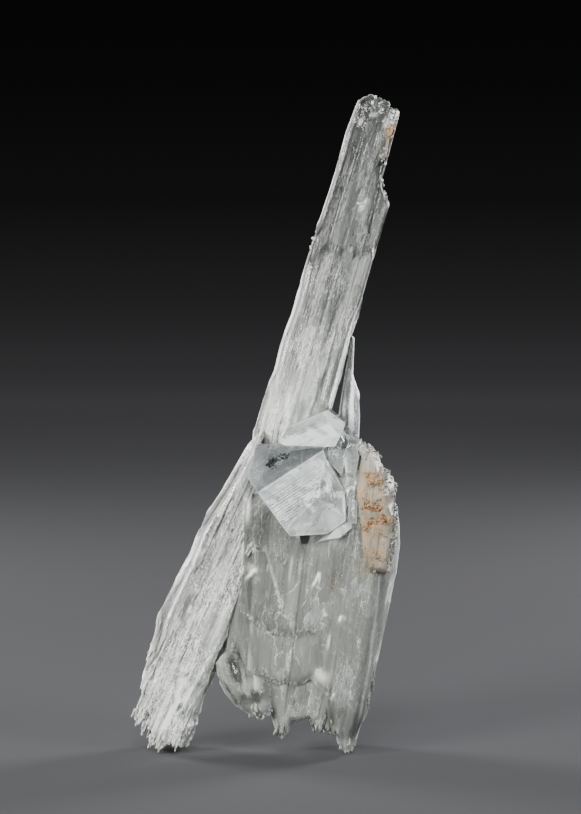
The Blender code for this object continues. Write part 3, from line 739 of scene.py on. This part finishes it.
def polyhedron(planes, steps, facet_values, relief, spots=()):
    """The closed crystal that the planes bound.

    Its corners are the cuts of three planes that lie behind all the others. Each face is split
    from its middle into four-sided fields, one to a corner, whose grid is finer towards the
    crystal's edges. relief(index, field, edge) raises a face's inner points. rim is 1 on an
    edge and fades inwards, and facet_values are each facet's milk, shade and lines.
    """
    normals = np.array([n for n, _ in planes])
    offsets = np.array([d for _, d in planes])
    triples = np.array([(i, j, k) for i in range(len(planes)) for j in range(i) for k in range(j)])
    triples = triples[np.abs(np.linalg.det(normals[triples])) > 1e-6]
    corners = np.linalg.solve(normals[triples], offsets[triples][..., None])[..., 0]
    real = (corners @ normals.T <= offsets + 1e-6).all(axis=1)
    corners = np.unique(np.round(corners[real], 5), axis=0)
    even = 1 - (1 - np.linspace(0, 1, steps + 1)) ** 1.5
    u, v = even[:, None, None], even[None, :, None]
    grid = np.arange((steps + 1) ** 2).reshape(steps + 1, steps + 1)
    quad = np.stack([grid[:-1, :-1], grid[1:, :-1], grid[1:, 1:], grid[:-1, 1:]], axis=-1)
    quad = quad.reshape(-1, 4)
    points, faces, rims, values, total = [], [], [], [], 0
    for index, (normal, offset) in enumerate(planes):
        on = corners[np.abs(corners @ normal - offset) < 1e-3]
        if len(on) < 3:
            continue
        middle = on.mean(axis=0)
        first = (on[0] - middle) / np.linalg.norm(on[0] - middle)
        second = np.cross(normal, first)
        on = on[np.argsort(np.arctan2((on - middle) @ second, (on - middle) @ first))]
        ahead = np.roll(on, -1, axis=0) - on
        inward = np.cross(normal, ahead) / np.linalg.norm(ahead, axis=1, keepdims=True)
        for before, corner, after in zip(np.roll(on, 1, axis=0), on, np.roll(on, -1, axis=0)):
            a, b = (before + corner) / 2, (corner + after) / 2
            field = (
                ((1 - u) * (1 - v)) * middle + (u * (1 - v)) * a + (u * v) * corner + ((1 - u) * v) * b
            )
            edge = np.abs(((field[..., None, :] - on) * inward).sum(axis=-1)).min(axis=-1)
            field = field + relief(index, field, edge)[..., None] * normal
            points.append(field.reshape(-1, 3))
            rims.append(bell(edge / 0.22).ravel())
            faces.append(quad + total)
            values.append(np.tile(facet_values[index], (len(quad), 1)))
            total += len(points[-1])
    points, quads = np.concatenate(points), np.concatenate(faces)
    keys, first_seen, which = np.unique(
        np.round(points, 4), axis=0, return_index=True, return_inverse=True
    )
    values = np.concatenate(values).astype(float)
    spot = spotted(spots, np.stack([keys[:, 0], keys[:, 2] + SINK * keys[:, 1]], axis=-1))
    named = {
        "rim": np.concatenate(rims)[first_seen], "milk": values[:, 0], "shade": values[:, 1],
        "lined": values[:, 2], "blot": spot[:, 0], "glint": spot[:, 1], "pale": spot[:, 2],
    }
    return keys, which.ravel()[quads], named


def block_planes():
    inside = np.array([8.0, -9.0, 60.0])
    trios = [
        (RIDGE_LEFT, RIDGE_RIGHT, TOP_LEFT),
        (RIDGE_LEFT, RIDGE_RIGHT, LEDGE_LOW),
        (LEDGE_LOW, LEDGE_HIGH, BOTTOM_RIGHT),
        (RIDGE_LEFT, BOTTOM_LEFT, RIDGE_LEFT + BACKWARDS),
        (BOTTOM_LEFT, BOTTOM_RIGHT, BOTTOM_LEFT + BACKWARDS),
        (BOTTOM_RIGHT, SIDE_LOW, BOTTOM_RIGHT + BACKWARDS),
        (SIDE_LOW, SIDE_HIGH, SIDE_LOW + BACKWARDS),
        (SIDE_HIGH, RIDGE_RIGHT, TOP_RIGHT),
        (TOP_LEFT, TOP_RIGHT, TOP_LEFT + BACKWARDS),
        (LEDGE_HIGH, np.array([13.3, -14.2, 66.8]), SIDE_LOW),
    ]
    planes = [plane_through(*trio, inside) for trio in trios]
    return planes + [plane_at((-4.7, 0, 62), (-1, 0, 0.28)), plane_at((0, 2, 60), (0, 1, 0))]


# Milk, shade and lines of each facet, in the order of the planes. The shades are painted light and shade,
# one for each facet, the darkest on the top facet for the dark that it reflects.
BLOCK_FACETS = np.array([
    (0.62, 0.17, 0), (0.76, 0.66, 1), (0.66, 0.8, 0.1), (0.5, 0.6, 0), (0.4, 0.6, 0), (0.6, 0.8, 0),
    (0.5, 0.7, 0), (0.56, 0.4, 0.2), (0.6, 0.3, 0), (0.62, 0.7, 0), (0.5, 0.4, 0), (0.4, 0.5, 0),
])
# Where it has painted dark spots for the dark refracted through it, painted white glints, and painted light
# or shade that makes it paler or darker: x, z, half-width, half-length, lean, each.
BLOCK_SPOTS = [
    (1.2, 65.7, 1.4, 1.8, 40, 1.25, 0), (3.7, 67.4, 1.5, 0.9, 0, 1, 0),
    (8, 68.9, 1, 4, 72, 0.2, 0, -0.06), (-3.2, 63, 2, 4, 18, 0, 0.1, 0.2),
    (10.2, 58.6, 0.8, 1.8, 60, 0, 1, 0.15), (9.9, 56, 0.5, 1.4, -45, 0, 1, 0.15),
    (12.9, 59.6, 0.9, 1.8, 50, 0, 1, 0.15), (15.8, 58.7, 0.7, 1.5, 80, 0, 0.9, 0.1),
    (8.6, 52, 0.5, 3.6, 72, 0, 0.4, 0.08), (2.6, 55.4, 0.8, 3.6, -38, 0, 0.3, 0.1),
    (11.6, 63.8, 1.2, 3.2, 20, 0, 0.1, 0.1), (14.6, 64.5, 1.4, 3.5, 8, 0.35, 0.2, -0.05),
    (12.6, 52.6, 0.25, 2.6, -20, 0, 0.5, 0.1),
]


def waves(index, field, edge):
    """Low waves that bend each other, so that no two are alike, and die out at a facet's edges."""
    ways = np.array([(0.8, 0.3, 0.9), (-0.9, 0.2, 0.7), (0.5, -0.3, 1.9)])
    a, b, c = np.moveaxis(field @ ways.T, -1, 0)
    wave = 0.07 * np.sin(a + 1.3 * np.sin(b)) + 0.02 * np.sin(c + 1.7 * np.sin(a))
    return wave * (edge * 1.4).clip(0, 1)


def striations(index, field, edge):
    """A saw of fine uneven steps across the striated facet, which dies out at its edges, and waves."""
    across = field @ DOWN_FACET
    teeth = (across * 1.6 + 0.35 * np.sin(across * 2.3)) % 1.0
    height = {1: 0.04, 2: 0.015, 7: 0.02}.get(index, 0.0)
    return height * (teeth - 0.5) * (edge * 1.2).clip(0, 1) + waves(index, field, edge)


def block_look(name, lean, line_strength, pale_tint):
    """Clear gypsum with milky veils, each facet with its own share of milk and its own tone.

    Dark lines run along a lined facet's steps: a saw of the distance down it, bent by noise.
    Rims are paler, a painted highlight along the edges. The mesh's dark spots are painted dark
    that stands for what is refracted through the crystal, its glints are painted highlights, and
    both are broken up into specks and sparks. Its pale values add painted light and shade.
    """
    look = Look(name)
    cloud = look.noise(lean, 3.2, 6.0, 4.0, seed=7)
    scratch = look.noise(lean, 0.30, 8.0, 2.0, seed=9)
    speck = look.noise(25.0, 0.45, 0.7, 3.0, seed=33)
    crack, cell = look.fractures(lean, 3.4, 6.0, 0.03, seed=12)
    rim, lined = look.attribute("rim"), look.attribute("lined")
    blot, glint = look.attribute("blot"), look.attribute("glint")
    down = look.node(
        "VectorMath", {"operation": "DOT_PRODUCT"},
        {0: look.node("TexCoord", output="Object"), 1: tuple(DOWN_FACET / MM)}, output="Value",
    )
    saw = look.node("Math", {"operation": "FRACT"}, {0: down * 1.7 + (scratch - 0.5) * 1.1 + cloud * 0.7})
    lower = ((51.6 - down) * 0.4).clamped(0.25, 1.0)
    line = saw.past(0.60, 5.0) * lined * cloud.past(0.30, 4.0) * lower
    # Painted light: the black specks stand for dark refracted through the crystal, the sparks are painted
    # glints, and rim, pale values and sparks brighten the tone as painted highlights.
    painted_dark = (speck + blot * 0.28).past(0.71, 9.0) * (blot * 3.0).clamped()
    spark = (speck + glint * 0.25).past(0.60, 8.0) * (glint * 3.0).clamped()
    veil = (
        look.attribute("milk") + (cloud - 0.5) * 1.1 + (scratch - 0.5) * 0.4 + crack * 0.3
        + (cell - 0.5) * 0.3 + rim * 0.22 - line * 0.35 + spark * 0.5 + painted_dark * 0.2
    ).clamped(0.03, 0.97)
    tone = look.attribute("shade") * (1.0 + (cloud - 0.5) * 0.7 + (cell - 0.5) * 0.3) - line * line_strength
    tone = (tone + look.attribute("pale") + rim * 0.14 + crack * 0.12 + spark * 0.6).clamped(0.03)
    tint = look.mixed(tone * (1.0 - painted_dark * 0.9), (0.10, 0.115, 0.12, 1.0), (*pale_tint, 1.0))
    tint = look.mixed(painted_dark, tint, (0.012, 0.014, 0.014, 1.0))
    bump = look.node("Bump", None, {"Height": scratch, "Strength": 0.15, "Distance": 0.1 * MM})
    clear = (0.95, 0.975, 0.99, 1.0), 0.03 + scratch * 0.05, 1.0
    milky = tint, 0.16 + scratch * 0.1, 0.2
    return look.finish(look.crystal(veil, clear, milky, bump), absorbs=((0.80, 0.90, 0.95), 12.0))


block_material = block_look("clear block gypsum", 60.0, 0.47, (0.88, 0.91, 0.92))
block_mesh = polyhedron(block_planes(), 30, BLOCK_FACETS, striations, BLOCK_SPOTS)
make_piece("block_crystal", [block_mesh], block_material, False)

# Roof crystal: a smaller, paler crystal above and behind the block, with a ridge like a roof's.


def roof_planes():
    ridge_left, ridge_right = np.array([4.0, -9.5, 71.5]), np.array([14.0, -10.5, 75.5])
    inside = np.array([10.0, -5.0, 73.0])
    top_left, top_right = np.array([5.2, -6, 74.6]), np.array([13.8, -6, 78.2])
    side, low_right = np.array([17.7, -7, 75.2]), np.array([15.5, -6, 71])
    trios = [
        (ridge_left, ridge_right, top_left),
        (ridge_left, ridge_right, np.array([10, -12.5, 69])),
        (ridge_right, top_right, side),
        (top_left, top_right, top_left + BACKWARDS),
        (top_right, side, side + BACKWARDS),
        (side, low_right, side + BACKWARDS),
    ]
    ends = [
        ((3, -5, 71.5), (-1, 0, 0.6)), ((5.5, 0, 69.4), (-0.6, 0, -0.8)),
        ((5.5, 0, 69.4), (0.14, 0, -0.99)), ((0, 3, 70), (0, 1, 0)),
    ]
    return [plane_through(*trio, inside) for trio in trios] + [plane_at(*end) for end in ends]


# Milk, shade and lines of each facet; the shades are painted light and shade, one for each facet.
ROOF_FACETS = np.array([
    (0.8, 0.74, 0), (0.86, 0.98, 0), (0.8, 0.98, 0), (0.7, 0.8, 0), (0.7, 0.8, 0), (0.6, 0.8, 0),
    (0.8, 1, 0), (0.5, 0.8, 0), (0.5, 0.8, 0), (0.5, 0.8, 0),
])
# Painted dark spots, painted glints and painted light or shade, as in BLOCK_SPOTS, with a crease darkened
# by painted shade.
ROOF_SPOTS = [
    (5, 70.6, 1.3, 2.8, 75, 0, 1, 0.2), (14.9, 75.4, 0.35, 2.6, -30, 0, 1.3, 0.3),
    (13.9, 75.9, 0.3, 2, -28, 0, 1.2, 0.25), (12.1, 72.9, 0.7, 2.2, -65, 0.1, 0, -0.6),
    (10.2, 72.8, 0.4, 1.4, -38, 0, 0.9, 0.1), (8, 73.4, 1.6, 4, 60, 0, 0.1, -0.12),
]
roof_mesh = polyhedron(roof_planes(), 20, ROOF_FACETS, waves, ROOF_SPOTS)
make_piece("roof_crystal", [roof_mesh], block_material, False)

# Wedged plates: small flat crystals that fill the space between the block, the curtain and the
# druse, clear or greenish white, with a pale shelf under the block's lower right.


def slab(outline, face, slopes, back):
    """The planes of a flat crystal: one through each side of a convex outline, leaning back a
    little, a front that slopes to the right and up, and a back.
    """
    rim = np.array(outline, float)
    middle = rim.mean(axis=0)
    planes = []
    for start, end in zip(rim, np.roll(rim, -1, axis=0)):
        out = np.array([end[1] - start[1], start[0] - end[0]]) / np.linalg.norm(end - start)
        out = out * np.sign(out @ (start - middle))
        planes.append(plane_at((start[0], face, start[1]), (out[0], -0.25, out[1])))
    front = plane_at((middle[0], face, middle[1]), (slopes[0], -1, slopes[1]))
    return planes + [front, plane_at((0, back, 0), (0, 1, 0))]


# Outline, depth of the front, its slopes to the right and up, and milk, shade and lines.
PLATES = [
    ([(17.6, 64.6), (20, 64), (20.6, 68), (20.2, 70.6), (18.4, 71.2), (17.2, 68.5)], -11.6,
     (0.15, 0.1), (0.6, 0.5, 0.2)),
    ([(13.4, 67.4), (17, 63.4), (17.8, 70), (16.4, 72.4), (13.8, 71.2)], -11.8,
     (0.3, 0.35), (0.5, 0.36, 0)),
    ([(11.8, 49.4), (12.4, 50.9), (15.6, 52.2), (18, 54.2), (18.7, 52.4), (16.4, 50.2)], -13.6,
     (0.2, 0.6), (0.78, 0.7, 0)),
    ([(18.2, 53.6), (20.1, 53.3), (20.4, 58.2), (18.6, 59.2)], -12.4, (0.1, -0.1), (0.6, 0.5, 0.6)),
    ([(17.9, 59.4), (19.8, 59.8), (20.1, 63.2), (17.6, 63.6)], -12.1, (-0.2, 0.2), (0.5, 0.44, 0)),
    ([(2, 44.5), (4.4, 43.8), (5.6, 50), (3.6, 51.6), (1.6, 49)], -11.8, (-0.1, 0.2), (0.5, 0.3, 0)),
]
# Painted dark spots, painted glints and painted light, as in BLOCK_SPOTS.
PLATE_SPOTS = [
    (17.6, 65.4, 0.5, 2.4, 0, 0, 0.9, 0.1), (15.2, 68.4, 1.2, 1.6, 20, 0.5, 0.5),
    (19, 60.2, 1.4, 0.5, 20, 0, 0.9, 0.1), (17, 52.2, 1.6, 0.6, 50, 0, 0.5, 0.1),
    (19.4, 55, 0.4, 2.4, 0, 0, 0.7, 0.1), (18.4, 63.4, 0.8, 0.8, 0, 0.6, 0.5),
]
PLATE_BACK = -6.0
plate_meshes = [
    polyhedron(
        slab(outline, face, slopes, PLATE_BACK), 9,
        np.tile(values, (len(outline) + 2, 1)), waves, PLATE_SPOTS,
    )
    for outline, face, slopes, values in PLATES
]
plate_look = block_look("clear plate gypsum", 8.0, 0.25, (0.80, 0.85, 0.82))
make_piece("wedged_plates", plate_meshes, plate_look, False)

# Side splinters: two clear, pointed splinters along the tall blade's right side, with breaks
# inside them painted white as highlights.

SPLINTER = [
    (16.4, 64), (17, 78), (18.6, 87.5), (19.6, 86), (21.4, 80), (21, 74), (20.6, 64),
]
THIN_SPLINTER = [
    (15.6, 72), (17.4, 84), (18.9, 95), (19.9, 94), (19.6, 86), (18.2, 72),
]
# The first two rows are painted highlights: white streaks inside the splinters.
SPLINTER_SPOTS = [
    (19.6, 82.6, 0.5, 3, 6, 0.9, 1.2), (19.2, 76, 0.7, 3.6, -4, 0.9, 1.2),
    (17.4, 76, 0.4, 4, 2, 0.5, 0.1), (18.2, 82, 0.4, 4, 6, -0.4, -0.2),
]
splinter_look = gypsum_look(
    "splinter gypsum", 4.0, 0.42, (0.92, 0.95, 0.95),
    ((0.12, 0.13, 0.13), (0.34, 0.365, 0.355), (1.0, 1.0, 1.0)), width=0.8,
)
make_piece(
    "side_splinters",
    [
        blade(SPLINTER, (3.0, -1.0), (-2.2, 3.0), [], chance, SPLINTER_SPOTS, grid=(0.14, 0.4),
              ragged=(0.6, 0.8), rounding=0.9, relief=0.6, edge_shade_band=0.1),
        blade(THIN_SPLINTER, (10.0, 8.0), (0.6, 3.6), [], chance, SPLINTER_SPOTS, grid=(0.12, 0.4),
              ragged=(0.4, 0.8), rounding=0.7, relief=0.4, edge_shade_band=0.1),
    ],
    splinter_look,
)

# Rusty druse: a lumpy crust of small crystals over the curtain's right shoulder. It is stained
# light brown, with orange-brown bands, has pinkish white crystals at the top and a grey-green
# edge.

DRUSE = [
    (18.8, 71.8), (20.1, 70.9), (21.7, 71.3), (23.7, 70.2), (25.3, 68.2), (25.9, 66), (27.4, 65),
    (28.6, 62.8), (29.2, 61.2), (28.9, 57.8), (29.5, 55.6), (30.5, 54.9), (30.4, 52.2), (29.6, 47.7),
    (28.7, 44.3), (27.8, 40.9), (25.1, 41.2), (21.9, 41.4), (20.6, 45.5), (19.9, 48.8), (19.7, 53.3),
    (18.8, 57.8), (18.6, 61.2), (19.7, 64.6), (20.4, 68), (19.2, 69.8),
]
DRUSE_SPOTS = [
    (22.8, 60.5, 5.2, 6, 0, 0.25, -0.08, 0.42), (23.2, 47.8, 5.2, 7.6, 0, 0.25, -0.12, 0.42),
    (23.4, 63, 1.8, 0.6, 0, 0.2, -0.1, 0.4), (24.6, 61, 2, 0.7, 0, 0.2, -0.1, 0.35),
    (23.8, 55.8, 2, 0.7, 0, 0.2, -0.1, 0.5), (24.4, 52.4, 0.9, 4.2, 72, 0.2, -0.1, 0.5),
    (20, 70.4, 1.2, 1.2, 0, 0.3, 0.1, 0.6), (23, 68, 2.6, 1.8, 0, 0.4, 0.1, 0.12),
    (28.6, 55, 2, 11, 0, -0.1, -0.3),
]
druse_look = gypsum_look(
    "rusty druse", 0.0, 0.74, (0.90, 0.93, 0.90),
    ((0.15, 0.155, 0.135), (0.26, 0.26, 0.232), (0.90, 0.87, 0.83)), streaks=0.4, width=2.2, haze=0.1,
    flecks=0.6,
)
druse_mesh = blade(
    DRUSE, (4.0, 6.0), (-13.2, 3.0), [], chance, DRUSE_SPOTS, grid=(0.16, 0.25), ragged=(1.0, 1.2),
    rounding=3.0, relief=0.7, edge_shade_band=0.0,
)
DRUSE_GRAINS = [
    (23.2, 63, 1.5, 0.6, 26, 0.1, -0.1, 0.7), (24.8, 61.2, 1.6, 0.9, 36, 0.1, -0.1, 0.6),
    (23.8, 55.8, 1.8, 0.7, 50, 0.1, -0.1, 0.9), (22, 51.4, 2, 0.9, 50, 0.1, -0.1, 0.7),
    (25.6, 53, 2.6, 0.9, 60, 0.1, -0.1, 0.9), (20.2, 70.6, 1.4, 1.4, 20, 0.3, 0.1, 0.5),
    (22.6, 58, 3.6, 5, 60, 0.1, -0.1, 0.36), (23.2, 68.6, 2.8, 2.4, 90, 0.3, 0, 0.08),
    (27.8, 62.6, 2.4, 4.6, 130, 0, -0.2, 0.05), (29, 54, 1.6, 7, 90, -0.1, -0.14),
    (28.6, 44.5, 1.4, 4, 50, 0, -0.1, 0.05), (22.5, 44, 3.2, 3, 60, 0.1, 0, 0.35),
]
druse_grains = grains(druse_mesh, DRUSE_GRAINS, (0.2, 0.8), 0.9, chance)
make_piece("rusty_druse", [druse_mesh, druse_grains], druse_look)

# Studio: a plain pale floor that sweeps up into a dark backdrop, darker away from the middle as
# painted shade, with a faint glow on the backdrop as painted light, soft lights low at the sides
# so that the crystals glow, and the camera in front, slightly above.

BOWL, RISE = 1.5, 2.4  # metres
TURNS, ROWS = 96, 59
turn = np.linspace(0, 2 * np.pi, TURNS, endpoint=False)[None]
run = np.linspace(0, 1, ROWS + 1)[1:, None]
radius = BOWL * np.minimum(run * 1.4, 1) + 0.6 * np.clip(run * 1.4 - 1, 0, 1) ** 0.5
height = RISE * np.clip(run * 1.6 - 0.8, 0, 1) ** 2.2
bowl = np.stack([radius * np.cos(turn), radius * np.sin(turn), height + 0 * turn], axis=-1).reshape(-1, 3)
grid = np.arange(ROWS * TURNS).reshape(ROWS, TURNS)
side = np.roll(grid, -1, axis=1)
bowl_faces = np.stack([grid[:-1], side[:-1], side[1:], grid[1:]], axis=-1).reshape(-1, 4).tolist()
bowl_faces += [(after, before, len(bowl)) for before, after in zip(grid[0], side[0])]
floor_mesh = bpy.data.meshes.new("floor")
floor_mesh.from_pydata(np.concatenate([bowl, [(0, 0, 0)]]).tolist(), [], bowl_faces)
floor_mesh.shade_smooth()
floor_look = Look("pale floor")
far = floor_look.node(
    "VectorMath", {"operation": "LENGTH"}, {0: floor_look.node("TexCoord", output="Object")}, output="Value"
) / 1.6
# Painted shade: the floor's colour darkens with distance from the middle, for light falling off.
painted_falloff_tint = floor_look.node(
    "ValToRGB",
    {"stops": [(0.0, (0.09, 0.09, 0.095)), (0.16, (0.070, 0.070, 0.074)), (0.33, (0.052, 0.052, 0.055)),
               (0.60, (0.025, 0.025, 0.0266)), (1.0, (0.004, 0.004, 0.004))]},
    {"Fac": far},
)
# Painted light: the backdrop glows a little, brightest in a band part way up, though it is no lamp.
backdrop_glow = floor_look.node(
    "ValToRGB",
    {"stops": [(0.15, (0, 0, 0)), (0.44, (0.034, 0.034, 0.036)), (0.58, (0.042, 0.042, 0.0445)),
               (0.71, (0.028, 0.028, 0.0295)), (0.76, (0.016, 0.016, 0.0168)),
               (0.83, (0.0040, 0.0040, 0.0041)), (0.90, (0.0008, 0.0008, 0.0008))]},
    {"Fac": far},
)
floor_mesh.materials.append(
    floor_look.finish(
        floor_look.node(
            "BsdfPrincipled", None,
            {"Base Color": painted_falloff_tint, "Roughness": 0.6, "Specular IOR Level": 0.0,
             "Emission Color": backdrop_glow, "Emission Strength": 1.0},
        )
    )
)
floor = add_object("floor", floor_mesh)

# Square soft lights, which aren't seen themselves: place, height of what each faces, size, power
# and colour.
LIGHTS = {
    "key": ((-0.50, -0.56, 0.20), 0.08, 0.30, 9.8, (1.0, 0.995, 0.97)),
    "sheen": ((0.01, -0.52, 0.53), 0.06, 0.20, 2.6, (0.98, 0.99, 1.0)),
    "fill": ((0.63, -0.44, 0.18), 0.08, 0.30, 5.0, (0.98, 0.99, 1.0)),
    "back_right": ((0.46, 0.40, 0.20), 0.08, 0.22, 7.2, (1.0, 1.0, 1.0)),
    "back_left": ((-0.48, 0.36, 0.18), 0.08, 0.22, 7.2, (1.0, 1.0, 1.0)),
}
for name, (place, aim, size, power, colour) in LIGHTS.items():
    data = bpy.data.lights.new(name, "AREA")
    data.shape, data.size, data.energy, data.color = "SQUARE", size, power, colour
    light = add_object(name, data)
    light.location = place
    light.rotation_euler = (Vector((0, 0, aim)) - light.location).to_track_quat("-Z", "Y").to_euler()
    light.visible_camera = False

world = bpy.data.worlds.new("room")
world.use_nodes = True
sky = world.node_tree.nodes["Background"].inputs
sky["Color"].default_value, sky["Strength"].default_value = (0.5, 0.52, 0.55, 1.0), 0.05
bpy.context.scene.world = world

PHOTO_HEIGHT, MM_PER_PIXEL = 814, 0.225  # pixels, and millimetres for one at the specimen
SENSOR = 36.0
TARGET = np.array([5.46, 0.0, 78.75])
DISTANCE, ELEVATION = 900.0, np.radians(5.0)
camera_data = bpy.data.cameras.new("camera")
camera_data.sensor_width = SENSOR
camera_data.lens = SENSOR * DISTANCE / (PHOTO_HEIGHT * MM_PER_PIXEL)
camera = add_object("camera", camera_data)
camera.location = (TARGET + DISTANCE * np.array([0, -np.cos(ELEVATION), np.sin(ELEVATION)])) * MM
camera.rotation_euler = (np.pi / 2 - ELEVATION, 0, 0)
camera_data.clip_end = 20.0
bpy.context.scene.camera = camera
